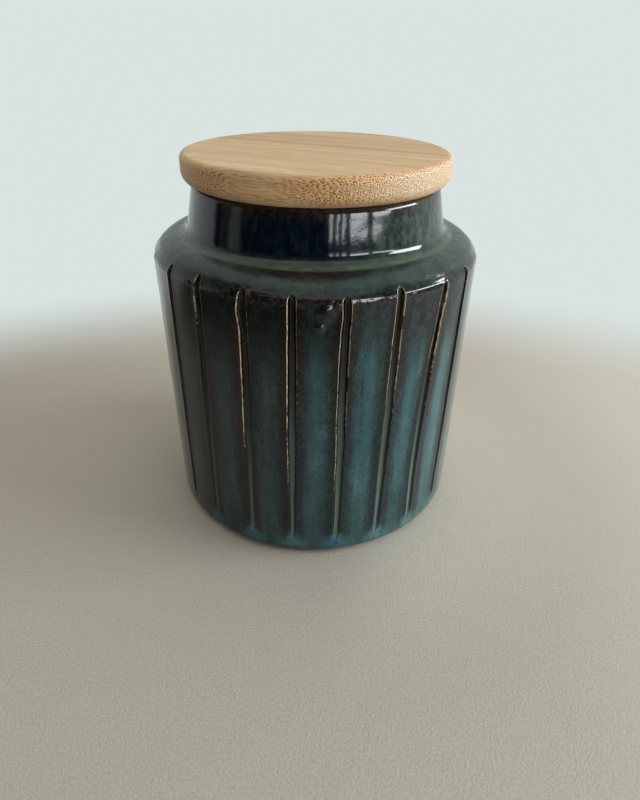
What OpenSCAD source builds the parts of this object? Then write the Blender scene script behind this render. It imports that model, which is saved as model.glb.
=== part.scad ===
// Tea canister: a fluted stoneware jar closed by a round bamboo lid with a soft sealing ring.
// Origin at the middle of the foot, +Z up, front towards -Y. Lengths are in millimetres.

/* [Jar] */
// Height of the jar from foot to rim
jar_h = 130; // [115:1:180]
// Diameter of the wall at the shoulder
wall_d = 122; // [116:0.5:150]
// Diameter of the wall at the base
base_d = 120.4; // [112:0.1:150]
// Thickness of the side wall
wall_t = 5.4; // [4:0.1:8]
// Thickness of the floor
floor_t = 6; // [4:0.5:10]
// Radius of the rounded base edge
base_edge_r = 4.7; // [2:0.1:8]
// Width of the flat foot ring
foot_w = 9; // [5:0.5:15]
// Depth of the hollow inside the foot ring
foot_recess = 2; // [1:0.5:4]
// Radius between wall and floor inside
inner_corner_r = 8; // [3:0.5:12]

/* [Shoulder] */
// Height of the shoulder from the wall's upper edge to the foot of the neck
shoulder_h = 7.3; // [6:0.1:12]
// Lean of the shoulder's lower slope, in degrees from upright
shoulder_lean = 29; // [15:1:45]
// Rise of the shoulder's ledge towards the neck, in degrees from level
ledge_rise = 8; // [2:1:15]
// Radius of the shoulder's lower edge
shoulder_edge_r = 3; // [1:0.1:6]
// Radius of the shoulder's crown
shoulder_crown_r = 14; // [6:0.5:20]
// Thickness of the shoulder over the inside
roof_t = 6; // [4:0.5:8]
// Radius under the shoulder inside
shoulder_inner_r = 9; // [4:0.5:12]

/* [Neck] */
// Height of the neck from the shoulder to the rim
neck_h = 17; // [14:0.1:25]
// Diameter at the foot of the neck
neck_foot_d = 96.6; // [94:0.1:102]
// Diameter at the top of the neck
neck_top_d = 90; // [88:0.1:97]
// Diameter of the bore through the neck
neck_bore_d = 80; // [70:0.5:82]
// Radius between shoulder and neck
neck_fillet_r = 3; // [0.5:0.1:4]
// Radius under the neck inside
mouth_r = 3; // [1:0.5:5]
// Radius of the rim's outer edge
rim_outer_r = 2.2; // [0.5:0.1:2.5]
// Radius of the rim's inner edge
rim_inner_r = 1.2; // [0.5:0.1:1.5]

/* [Grooves] */
// Number of upright grooves
groove_count = 23; // [12:1:30]
// Width of a groove
groove_w = 3.2; // [2:0.1:5]
// Depth of a groove
groove_depth = 1.5; // [0.8:0.1:2.2]
// Height of the grooves' lower ends
groove_end_z = 8.4; // [6:0.1:20]
// Lean of the carved grooves, in degrees
groove_lean = 0.9; // [0:0.1:3]
// Turn of the first groove from the front, in degrees
groove_turn = 9.65; // [0:0.05:15]

/* [Lid board] */
// Diameter of the lid's board
lid_d = 96.6; // [92:0.1:110]
// Thickness of the lid's board
lid_t = 10; // [7:0.5:14]
// Radius of the board's upper edge
lid_top_edge_r = 2.2; // [0.5:0.1:3]
// Radius of the board's lower edge
lid_bottom_edge_r = 4.2; // [0.5:0.1:5]
// Width of one stave of the board
lid_stave_w = 29; // [20:0.5:40]
// Distance of one glue line from the lid's middle
glue_line = 5; // [0:0.5:10]
// Turn of the board's grain from +X, in degrees
grain_turn = -22; // [-90:1:90]

/* [Plug] */
// Depth of the plug below the board
plug_t = 11; // [9:0.5:14]
// Gap between the plug and the neck's bore
plug_gap = 2; // [1.2:0.1:3]
// Radius of the plug's lower edge
plug_edge_r = 1.5; // [0.3:0.1:2]
// Width of one stave of the plug
plug_stave_w = 26; // [20:0.5:30]

/* [Seal] */
// Height of the sealing ring
seal_h = 5; // [4:0.1:6]
// Height of the sealing ring above the plug's lower face
seal_lift = 2.8; // [2.2:0.1:3.5]
// Depth of the ring's groove in the plug
seal_depth = 2; // [1.2:0.1:3]
// Gap between the sealing ring and its groove
seal_gap = 0.25; // [0.1:0.05:0.4]
// Thickness of a sealing fin at its root
fin_t = 1.4; // [0.8:0.1:1.8]
// Upward bend of a fin from root to tip
fin_bend = 0.5; // [0:0.1:0.6]
// Gap between a fin and the neck's bore
fin_gap = 0.3; // [0.2:0.05:0.5]

/* [Hidden] */
$fn = 144;
// Largest turn between two points of an arc, in degrees
arc_step = 5;
// Overhang of cutting shapes past what they cut
over = 1;
// Narrowest strip that is glued on as a stave of its own
narrowest_stave = 4;
// Number of sealing fins
fin_count = 2;

wall_r = wall_d / 2;
base_r = base_d / 2;
neck_foot_r = neck_foot_d / 2;
bore_r = neck_bore_d / 2;
foot_r = base_r - base_edge_r - foot_w;
floor_z = foot_recess + floor_t;
neck_foot_z = jar_h - neck_h;
roof_z = neck_foot_z - roof_t;
edge_z = neck_foot_z - shoulder_h;

// The slope rises inwards from the wall's upper edge and meets the ledge at the crown
crown_in = (shoulder_h - (wall_r - neck_foot_r) * tan(ledge_rise))
    / (1 / tan(shoulder_lean) - tan(ledge_rise));
crown_r = wall_r - crown_in;
crown_z = edge_z + crown_in / tan(shoulder_lean);

wall_draft = atan((wall_r - base_r) / (edge_z - base_edge_r));
groove_r = (pow(groove_w / 2, 2) + pow(groove_depth, 2)) / (2 * groove_depth);
groove_out = groove_r - groove_depth;

lid_r = lid_d / 2;
lid_top_z = jar_h + lid_t;
plug_r = bore_r - plug_gap;
plug_z = jar_h - plug_t;
seal_z = plug_z + seal_lift;
seal_seat_r = plug_r - seal_depth;
seal_in_r = seal_seat_r + seal_gap;
fin_root_r = plug_r;
fin_tip_r = bore_r - fin_gap;
fin_pitch = seal_h / fin_count;

lid_cuts = stave_edges(lid_r, lid_stave_w, glue_line);
plug_cuts = stave_edges(plug_r, plug_stave_w, plug_stave_w / 2);
lid_staves = len(lid_cuts) - 1;
plug_staves = len(plug_cuts) - 1;

function unit(v) = v / norm(v);
function point(corner) = [corner[0], corner[1]];

// Half the angle between the two sides that meet at b
function half_angle(a, b, c) = acos(unit(a - b) * unit(c - b)) / 2;

// Points of the arc that rounds corner b and takes up the given length of each side
function corner_arc(a, b, c, length) =
    let (
        u = unit(a - b),
        v = unit(c - b),
        half = half_angle(a, b, c),
        centre = b + unit(u + v) * length / cos(half),
        start = b + u * length - centre,
        side = sign(cross(u, v)),
        turn = 180 - 2 * half,
        steps = ceil(turn / arc_step)
    )
    [for (i = [0:steps])
        let (angle = -side * turn * i / steps)
        centre + [
            start[0] * cos(angle) - start[1] * sin(angle),
            start[0] * sin(angle) + start[1] * cos(angle)
        ]];

// Closed outline from corners [x, y, radius]; radii shrink where two arcs would share a side
function rounded(corners) =
    let (
        n = len(corners),
        p = [for (corner = corners) point(corner)],
        want = [for (i = [0:n - 1])
            corners[i][2] / tan(half_angle(p[(i + n - 1) % n], p[i], p[(i + 1) % n]))],
        fit = [for (i = [0:n - 1])
            min(1, norm(p[(i + 1) % n] - p[i]) / max(want[i] + want[(i + 1) % n], 0.001))]
    )
    [for (i = [0:n - 1])
        let (length = want[i] * min(fit[i], fit[(i + n - 1) % n]))
        each length == 0 ? [p[i]] : corner_arc(p[(i + n - 1) % n], p[i], p[(i + 1) % n], length)];

// Places across the grain where a round board is parted into staves, from rim to rim
function stave_edges(board_r, stave_w, offset) =
    let (reach = ceil(2 * board_r / stave_w))
    concat(
        [-board_r],
        [for (k = [-reach:reach])
            let (y = offset + k * stave_w)
            if (abs(y) < board_r - narrowest_stave) y],
        [board_r]
    );

// Solid of revolution about Z from an outline of corners [radius, height, rounding]
module turned(corners) {
    rotate_extrude() polygon(rounded(corners));
}

// The stave between two places across the grain, cut out of the board drawn as child
module stave(board_r, low_z, high_z, from, to, turn) {
    intersection() {
        children();
        rotate([0, 0, turn])
            translate([-board_r - over, from, low_z - over])
                cube([2 * (board_r + over), to - from, high_z - low_z + 2 * over]);
    }
}

// Ball-ended cutter for one groove, standing at the front of the wall
module groove_cutter() {
    translate([0, -base_r - groove_out, groove_end_z + groove_r])
        rotate([wall_draft, groove_lean, 0]) {
            cylinder(r = groove_r, h = jar_h);
            sphere(r = groove_r);
        }
}

module jar() {
    color("darkslategray")
    difference() {
        turned([
            [0, foot_recess, 0],
            [foot_r - foot_recess, foot_recess, 0],
            [foot_r, 0, 0],
            [base_r, 0, base_edge_r],
            [wall_r, edge_z, shoulder_edge_r],
            [crown_r, crown_z, shoulder_crown_r],
            [neck_foot_r, neck_foot_z, neck_fillet_r],
            [neck_top_d / 2, jar_h, rim_outer_r],
            [bore_r, jar_h, rim_inner_r],
            [bore_r, roof_z, mouth_r],
            [wall_r - wall_t, roof_z, shoulder_inner_r],
            [base_r - wall_t, floor_z, inner_corner_r],
            [0, floor_z, 0]
        ]);
        for (i = [0:groove_count - 1])
            rotate([0, 0, groove_turn + i * 360 / groove_count]) groove_cutter();
    }
}

module lid_stave(i) {
    color("burlywood")
    stave(lid_r, jar_h, lid_top_z, lid_cuts[i - 1], lid_cuts[i], grain_turn)
        turned([
            [0, jar_h, 0],
            [lid_r, jar_h, lid_bottom_edge_r],
            [lid_r, lid_top_z, lid_top_edge_r],
            [0, lid_top_z, 0]
        ]);
}

// The plug's staves lie across those of the board
module plug_stave(i) {
    color("tan")
    stave(plug_r, plug_z, jar_h, plug_cuts[i - 1], plug_cuts[i], grain_turn + 90)
        turned([
            [0, plug_z, 0],
            [plug_r, plug_z, plug_edge_r],
            [plug_r, seal_z - seal_gap, 0],
            [seal_seat_r, seal_z - seal_gap, 0],
            [seal_seat_r, seal_z + seal_h + seal_gap, 0],
            [plug_r, seal_z + seal_h + seal_gap, 0],
            [plug_r, jar_h, 0],
            [0, jar_h, 0]
        ]);
}

// Flat ring in the plug's groove with fins that bend up against the bore
module seal_ring() {
    color("whitesmoke")
    turned(concat(
        [[seal_in_r, seal_z, 0], [fin_root_r, seal_z, 0]],
        [for (i = [0:fin_count - 1])
            let (
                root_z = seal_z + (i + 0.5) * fin_pitch,
                tip_z = root_z + fin_bend
            )
            each [
                [fin_root_r, root_z - fin_t / 2, 0],
                [fin_tip_r, tip_z - fin_t / 3, fin_t / 3],
                [fin_tip_r, tip_z + fin_t / 3, fin_t / 3],
                [fin_root_r, root_z + fin_t / 2, 0]
            ]],
        [[fin_root_r, seal_z + seal_h, 0], [seal_in_r, seal_z + seal_h, 0]]
    ));
}

jar();
for (i = [1:lid_staves])
    lid_stave(i);
for (i = [1:plug_staves])
    plug_stave(i);
seal_ring();
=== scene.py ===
import math
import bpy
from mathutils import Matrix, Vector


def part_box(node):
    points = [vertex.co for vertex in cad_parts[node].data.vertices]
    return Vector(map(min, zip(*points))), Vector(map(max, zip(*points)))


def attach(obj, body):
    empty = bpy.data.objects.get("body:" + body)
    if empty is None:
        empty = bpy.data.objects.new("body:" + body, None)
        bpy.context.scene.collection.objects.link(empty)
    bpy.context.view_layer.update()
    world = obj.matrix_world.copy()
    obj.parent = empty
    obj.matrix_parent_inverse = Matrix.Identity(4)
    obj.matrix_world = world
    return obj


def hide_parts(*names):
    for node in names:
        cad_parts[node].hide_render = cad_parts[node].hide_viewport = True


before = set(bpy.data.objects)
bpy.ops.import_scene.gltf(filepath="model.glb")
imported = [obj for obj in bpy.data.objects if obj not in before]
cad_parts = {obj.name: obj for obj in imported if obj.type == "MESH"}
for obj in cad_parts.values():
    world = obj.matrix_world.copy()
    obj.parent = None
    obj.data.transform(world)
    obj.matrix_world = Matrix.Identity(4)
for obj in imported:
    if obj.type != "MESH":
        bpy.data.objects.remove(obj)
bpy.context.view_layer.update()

from types import SimpleNamespace

import bpy
import numpy as np
from mathutils import Matrix

MM = 0.001


def srgb(red, green, blue):
    """A linear colour from 0-255 screen values."""
    def linear(v):
        v /= 255
        return v / 12.92 if v <= 0.04045 else ((v + 0.055) / 1.055) ** 2.4
    return linear(red), linear(green), linear(blue), 1.0


def grey(value):
    """A linear grey."""
    return value, value, value, 1.0


# Jar, in millimetres; heights are measured from the foot
JAR_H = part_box("jar")[1].z / MM
WALL_R = 61.0
BASE_R = 60.2
WALL_T = 5.4
FLOOR_T = 6.0
BASE_EDGE_R = 4.7
FOOT_W = 9.0
FOOT_RECESS = 2.0
FOOT_EDGE_R = 0.5
RECESS_EDGE_R = 0.6
INNER_CORNER_R = 8.0
SHOULDER_H = 6.8
SHOULDER_LEAN = math.radians(31.5)
LEDGE_RISE = math.radians(8)
SHOULDER_BEVEL = 0.7
SHOULDER_BEVEL_LEAN = math.radians(15.5)
SHOULDER_EDGE_R = 1.5
SHOULDER_CROWN_R = 11.7
ROOF_T = 6.0
SHOULDER_INNER_R = 9.0
NECK_H = 17.0
NECK_FOOT_R = 48.3
NECK_TOP_R = 45.0
BORE_R = 40.0
NECK_FILLET_R = 5.0
MOUTH_R = 3.0
RIM_OUTER_R = 2.2
RIM_INNER_R = 1.2
CLAY_TOP_Z = 0.9

FOOT_R = BASE_R - BASE_EDGE_R - FOOT_W
FLOOR_Z = FOOT_RECESS + FLOOR_T
NECK_FOOT_Z = JAR_H - NECK_H
ROOF_Z = NECK_FOOT_Z - ROOF_T
EDGE_Z = NECK_FOOT_Z - SHOULDER_H
CROWN_IN = ((SHOULDER_H - (WALL_R - NECK_FOOT_R) * math.tan(LEDGE_RISE))
            / (1 / math.tan(SHOULDER_LEAN) - math.tan(LEDGE_RISE)))
CROWN_R = WALL_R - CROWN_IN
CROWN_Z = EDGE_Z + CROWN_IN / math.tan(SHOULDER_LEAN)
BEVEL_IN = SHOULDER_BEVEL * math.sin(SHOULDER_LEAN)
BEVEL_UP = SHOULDER_BEVEL * math.cos(SHOULDER_LEAN)
BEVEL_DOWN = BEVEL_IN / math.tan(SHOULDER_BEVEL_LEAN) - BEVEL_UP
PER_DEGREE = WALL_R * math.pi / 180

# Longest step between rows of the jar's surface: at the shoulder's edge, near both ends of the wall,
# on the wall between them, round the neck, and elsewhere
EDGE_STEP = 0.25
END_STEP = 0.6
WALL_STEP = 1.3
NECK_STEP = 1.2
PLAIN_STEP = 3.5
EDGE_ZONE = 1.2
WALL_ENDS = (15, 95)
NECK_ZONE = 8
OUTSIDE_R = BASE_R - 1.5
ARC_STEP = math.radians(5)

# Depth of the skin's hand-made unevenness below the even surface, on the wall and on the neck
SKIN_LEAST = 0.14
SKIN_WAVES = 0.14
NECK_WAVES = 0.1
ARRIS_LIFT = 0.1

# Carved grooves
GROOVES = 23
GROOVE_W = 3.2
GROOVE_DEPTH = 1.5
GROOVE_END_Z = 8.4
GROOVE_TURN = 9.65
GROOVE_LEAN = 1.6
GROOVE_LEAN_Z = 12
GROOVE_R = ((GROOVE_W / 2) ** 2 + GROOVE_DEPTH ** 2) / (2 * GROOVE_DEPTH)
GROOVE_OUT = GROOVE_R - GROOVE_DEPTH
PITCH = 360 / GROOVES
# Height that parts a groove's upper end from its lower one, the farthest recess and gap that matter to it,
# and the recess of rows that aren't on the wall
MIDWAY_Z = 50
FAR = 9
OFF_WALL = 99.0
# Height round which a groove flares, and how far up and down
FLARE_Z = 101.5
FLARE_REACH = 4.0
# Places of the columns of points across a groove, and beside it in millimetres; least half width kept open
IN_GROOVE = np.array([-1, -0.97, -0.86, -0.6, -0.3, 0, 0.3, 0.6, 0.86, 0.97, 1])
BESIDE = (0.25, 0.8)
PANEL_PARTS = 9
LEAST_HALF = 0.6

# The front grooves and panels by their count from the first, a panel by the groove on its left.
# Turn and lean of each groove beyond the even ones, in degrees round the jar
GROOVE_FRONT = {-5: (-4.5, 0.2), -4: (-1.0, 0.2), -3: (-1.6, 0.2), -2: (-0.3, 0.0), -1: (-0.6, -0.5),
                0: (-0.25, -0.7), 1: (0.4, 0.6), 2: (1.8, 3.8), 3: (0.9, 0.8), 4: (3.0, 0.8)}
# How far a groove bows sideways at its middle, in degrees
GROOVE_BOW = {2: -2.0}
# How soon each groove runs out on the shoulder; above 1 its tip lies lower
GROOVE_TIP = {-5: 4.0, -4: 0.75, -3: 0.62, -2: 1.15, -1: 1.35, 0: 2.0, 1: 0.9, 2: 4.0, 3: 1.15, 4: 4.0}
# How far each groove flares near its top, left and right, in millimetres
GROOVE_FLARE = {-3: (0.4, 0.1), -2: (0.75, 0.1), -1: (0.1, 0.0), 0: (-0.35, 0.3), 1: (0.0, 0.2),
                2: (0.2, 0.4)}
# How much blue each panel carries, how far it leans to blue, and by how many millimetres it starts lower
PANEL_BLUE = {-5: 0.28, -4: 0.3, -3: 0.38, -2: 0.58, -1: 0.85, 0: 1.0, 1: 1.0, 2: 0.97, 3: 0.9}
PANEL_COOL = {-3: -0.02, -2: -0.04, -1: 0.14, 0: -0.03, 1: 0.14, 2: 0.06, 3: 0.06}
PANEL_LOW = {-1: 2.0, 1: 10.0, 2: 6.0}
# Strength of the bared line along each groove's left edge, the height where it fades out, and the same
# for the right edge
BARED = {-4: (0.1, 96, 0.3, 97), -3: (0.85, 94, 0.2, 98), -2: (1.0, 46, 0.4, 72), -1: (1.0, 34, 0.5, 52),
         0: (1.0, 30, 0.6, 44), 1: (0.75, 50, 0.7, 56), 2: (0.55, 62, 0.65, 62), 3: (0.4, 94, 0.2, 97)}
# Strength and blueness of the glaze drop at each groove's foot
DROPS = {-4: (0.3, 0.0), -3: (0.35, 0.1), -2: (0.75, 0.8), -1: (0.85, 0.2), 0: (1.0, 1.0), 1: (1.0, 0.25),
         2: (0.9, 0.05), 3: (0.5, 0.0)}
# Small beads of glaze near the shoulder's edge: turn, height, radius and rise
BEADS = ((4.0, 102.7, 4.2, 1.16), (2.3, 97.8, 2.1, 0.8), (7.2, 104.9, 2.0, 0.56))
# Painted values at the middle of the foot and of the inner floor, where they aren't zero
POLES = {"arris": (9.0, 9.0), "blue": (0.5, 0.5), "inside": (0.0, 1.0)}

# Noises of the glaze: squash along the height, scale per millimetre, detail and roughness
GLAZE_NOISES = {"streak": (0.1, 0.28, 3, 0.5), "grain": (0.7, 1.5, 3, 0.7), "blot": (0.6, 0.12, 3, 0.5),
                "hue": (0.7, 0.035, 2, 0.5), "feather": (0.3, 0.5, 4, 0.65), "hair": (0.3, 2.4, 2, 0.6),
                "fleck": (0.6, 0.42, 4, 0.62), "drip": (0.08, 0.55, 2, 0.5), "speck": (1.0, 0.75, 4, 0.65)}
HUE_SHIFT = (31, 7, 12)

# Colours of the glaze; a name with several colours goes from one end of a noise or height to the other
TONE_STOPS = (0.36, 0.5, 0.64)
GREEN = (srgb(27, 51, 50), srgb(53, 83, 80), srgb(84, 116, 112))
SEA = (srgb(26, 51, 58), srgb(51, 83, 88), srgb(78, 113, 117))
# Painted reflection: lighter teal for the panels at the far right
RIGHT_SHEEN_TEAL = srgb(88, 126, 128)
EDGE_DARK = (srgb(1, 3, 7), srgb(32, 25, 18))
EDGE_FEATHER = srgb(20, 33, 35)
EDGE_LOW = (srgb(15, 30, 37), srgb(40, 50, 54))
# Share of the panel's height, from low to high, and how much of the teal it carries
RUN_STOPS = ((0.05, grey(0.75)), (0.20, grey(1.0)), (0.42, grey(1.0)), (0.62, grey(0.9)),
             (0.76, grey(0.45)), (0.85, grey(0.06)))
DUSK_DARK = srgb(5, 8, 13)
DUSK_LIGHT = (srgb(17, 31, 33), srgb(31, 48, 54))
RUST = srgb(54, 43, 30)
BAND = (srgb(17, 16, 18), srgb(54, 46, 40))
SHOULDER = (srgb(24, 42, 40), srgb(42, 64, 60))
SHOULDER_MOTTLE = (srgb(15, 21, 21), srgb(40, 34, 26))
# Painted shade: dark colour that the shoulder takes towards the left
SHOULDER_LEFT_SHADE = srgb(10, 22, 20)
SHOULDER_RIGHT = srgb(48, 41, 33)
# Dark brown of the ledge, which in front of the neck is partly a painted reflection of the lid
SMUDGE_AND_REFLECTION = (srgb(15, 11, 10), srgb(42, 32, 27))
OLIVE = (srgb(34, 46, 38), srgb(54, 64, 53))
OLIVE_LOW = (srgb(58, 72, 61), srgb(80, 92, 77))
NECK = (srgb(2, 8, 22), srgb(12, 26, 33))
# Moss colour of the neck's right side, lighter there partly as painted light
MOSS_AND_LIGHT = (srgb(28, 43, 44), srgb(74, 79, 72))
WORN = srgb(62, 43, 28)
DRIP = srgb(36, 48, 50)
LIP = srgb(66, 44, 28)
BED_STOPS = ((0.1, srgb(102, 120, 112)), (0.5, srgb(76, 93, 87)), (0.78, srgb(36, 42, 38)),
             (0.95, srgb(14, 14, 12)))
# Painted shade on the grooves' walls, darkest high up and lighter low down
FLANK_SHADE = (srgb(12, 11, 9), srgb(36, 38, 34))
BARE_LINE = (srgb(146, 110, 82), srgb(228, 204, 172))
POOL = srgb(84, 126, 122)
POOL_DEEP = srgb(22, 72, 112)
FOOT_BROWN = srgb(36, 30, 24)
LINING = (srgb(30, 46, 48), srgb(56, 78, 80))
# Dark brown lens on the ledge in front of the neck, part smudge and part painted reflection of the lid:
# middle, half length, width and inner radius, in millimetres
SMUDGE_AND_REFLECTION_X = 1.0
SMUDGE_AND_REFLECTION_HALF = 22
SMUDGE_AND_REFLECTION_W = 5.6
SMUDGE_AND_REFLECTION_R = 51.2

# Bare clay of the foot
CLAY = (srgb(142, 110, 82), srgb(186, 156, 124))
CLAY_SPECK = srgb(84, 60, 42)

# Lid and seal
GRAIN_TURN = math.radians(-22)
LID_TOP_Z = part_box("lid_stave_2")[1].z / MM
PLUG_R = BORE_R - 2.0
SEAL_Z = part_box("seal_ring")[0].z / MM
SEAL_H = 5.0
SEAL_IN_R = 36.25
SEAL_EDGE_R = 0.3
SEAL_ROOT_R = 0.2
SEAL_STEP = 0.5
SEAL_COLUMNS = 180
FIN_T = 1.4
FIN_BEND = 0.5
FIN_TIP_R = BORE_R - 0.3
FIN_COUNT = 2
SILICONE = (srgb(218, 216, 208), srgb(236, 235, 230))

# Bamboo: pale and deep tone of each stave of the board; the plug takes the last three
STAVE_TONES = ((srgb(217, 188, 149), srgb(200, 165, 123)), (srgb(219, 191, 152), srgb(203, 170, 128)),
               (srgb(206, 174, 135), srgb(183, 145, 106)), (srgb(212, 182, 144), srgb(190, 153, 114)))
GRAIN_LINES = srgb(168, 130, 90)
GRAIN_THIN = srgb(146, 108, 72)
CUT_ENDS = (srgb(220, 166, 112), srgb(232, 204, 168))
# Painted warm light: lighter, warmer tone of the lid's sides
RIM_WARM_LIGHT = srgb(236, 178, 120)
FIBRE = srgb(84, 48, 24)

# Stage: backdrop and ceiling, the tint of the light that they give, and the dim screen in front
BACKDROP = (0.69, 0.765, 0.755, 1)
CEILING = (0.82, 0.86, 0.85, 1)
CEILING_RISE = (0.4, 0.85)
FILL_TINT = (1.24, 1.14, 1.0, 1)
SCREEN_DIM = (0.026, 0.03, 0.038, 1)
SCREEN_BLACK = grey(0.015)
SCREEN_R = 1.35
SCREEN_H = 1.5
SCREEN_COLUMNS = 60
# Colours of the screen's low part from left to right, by turn in degrees
SCREEN_STOPS = ((-118, BACKDROP), (-97, BACKDROP), (-92, SCREEN_BLACK), (-88, SCREEN_BLACK),
                (-86, (0.16, 0.12, 0.08, 1)), (-78, (0.12, 0.09, 0.06, 1)), (-75, (0.5, 0.58, 0.58, 1)),
                (-68, (0.42, 0.5, 0.5, 1)), (-64, SCREEN_DIM), (70, SCREEN_DIM), (104, BACKDROP))
SCREEN_LOW = (0.4, 0.7)
FLOOR_SIDE = 4.0
FLOOR_CENTRE_Y = -300
FLOOR_FADE = (415, 550)
FLOOR_GRAIN = (srgb(158, 152, 142), srgb(180, 173, 163))
FLOOR_CLOUD = srgb(172, 166, 156)
# Painted light on the floor: lighter towards the lit right and beside the jar on the right
FLOOR_LIT_RIGHT = srgb(200, 198, 190)
FLOOR_LIT_BESIDE = srgb(206, 201, 188)
# Left, front, right and back side of the dark card
CARD_SIDES = (-0.7, -0.8, 0.16, 0.07)
CARD_Z = 0.0015
CARD_COLOUR = (0.08, 0.075, 0.065, 1)
PANE_COLOUR = (0.93, 1.0, 1.03)
PANE_DISTANCE = 1.2
PANE_Z = 0.1
# Turn of each lamp pane's left and right edge, rise of its lower and upper edge, in degrees, and its radiance
PANES = ((12.8, 14.8, 6.0, 14.5, 9), (18, 20, 6.0, 14.5, 9), (23, 25.5, 6.0, 14.5, 9),
         (29.5, 45, 6.0, 14.5, 12.5), (50, 68, 4.8, 10.5, 12.5), (68, 101, 11, 25, 20.5))

# Camera, fitted to the jar's outline: place in millimetres, tilt down and roll in degrees
CAMERA_AT = (2.512, -226.998, 174.172)
CAMERA_DOWN = 31.571
CAMERA_ROLL = 0.764
SENSOR_H = 36
FOCAL_SHARE = 591.33 / 800


def smooth_noise(seed, points, spacing, count=400):
    """Smooth noise from -1 to 1 along a line, with one random value every spacing."""
    points = np.asarray(points, float) / spacing
    values = np.random.RandomState(seed).uniform(-1, 1, count)
    base = np.floor(points).astype(int)
    part = points - base
    part = part * part * (3 - 2 * part)
    return values[base % count] * (1 - part) + values[(base + 1) % count] * part


def smoothstep(low, high, value):
    part = np.clip((value - low) / (high - low), 0, 1)
    return part * part * (3 - 2 * part)


def corner_arc(a, b, c, radius):
    """Points of the arc of the given radius that rounds corner b."""
    u = (a - b) / np.linalg.norm(a - b)
    v = (c - b) / np.linalg.norm(c - b)
    half = math.acos(np.clip(u @ v, -1, 1)) / 2
    length = radius / math.tan(half)
    middle = (u + v) / np.linalg.norm(u + v)
    centre = b + middle * length / math.cos(half)
    start = b + u * length - centre
    side = np.sign(u[0] * v[1] - u[1] * v[0])
    turn = math.pi - 2 * half
    steps = math.ceil(turn / ARC_STEP)
    out = []
    for i in range(steps + 1):
        angle = -side * turn * i / steps
        out.append(centre + np.array([start[0] * math.cos(angle) - start[1] * math.sin(angle),
                                      start[0] * math.sin(angle) + start[1] * math.cos(angle)]))
    return out


def rounded(corners):
    """Open outline through corners (radius, height, rounding)."""
    points = [np.array(c[:2], float) for c in corners]
    out = [points[0]]
    for i in range(1, len(points) - 1):
        if corners[i][2] == 0:
            out.append(points[i])
        else:
            out.extend(corner_arc(points[i - 1], points[i], points[i + 1], corners[i][2]))
    out.append(points[-1])
    return out


def subdivided(points, step_at):
    """The outline with its long sides parted into steps no longer than step_at(radius, height)."""
    out = [points[0]]
    for a, b in zip(points, points[1:]):
        reach = np.linalg.norm(b - a)
        if reach < 1e-6:
            continue
        middle = (a + b) / 2
        count = max(1, math.ceil(reach / step_at(*middle)))
        out.extend(a + (b - a) * k / count for k in range(1, count + 1))
    return np.array(out)


def mesh_object(name, verts, faces):
    mesh = bpy.data.meshes.new(name)
    mesh.from_pydata(verts, [], faces)
    mesh.validate()
    mesh.shade_smooth()
    obj = bpy.data.objects.new(name, mesh)
    bpy.context.scene.collection.objects.link(obj)
    return obj


def turned_points(radius, turn, height):
    """Points in metres from radii and heights in millimetres and turns from the front in radians."""
    return np.stack([radius * np.sin(turn), -radius * np.cos(turn), height], -1) * MM


def grid_faces(rows, columns, wrap_rows=False):
    """Quads of a grid that closes round its columns, and round its rows if asked."""
    faces = []
    for k in range(rows if wrap_rows else rows - 1):
        low, high = k * columns, (k + 1) % rows * columns
        for j in range(columns):
            n = (j + 1) % columns
            faces.append((low + j, low + n, high + n, high + j))
    return faces


def set_attribute(obj, name, values):
    layer = obj.data.attributes.new(name, "FLOAT", "POINT")
    layer.data.foreach_set("value", np.asarray(values, np.float32).ravel())


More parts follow.
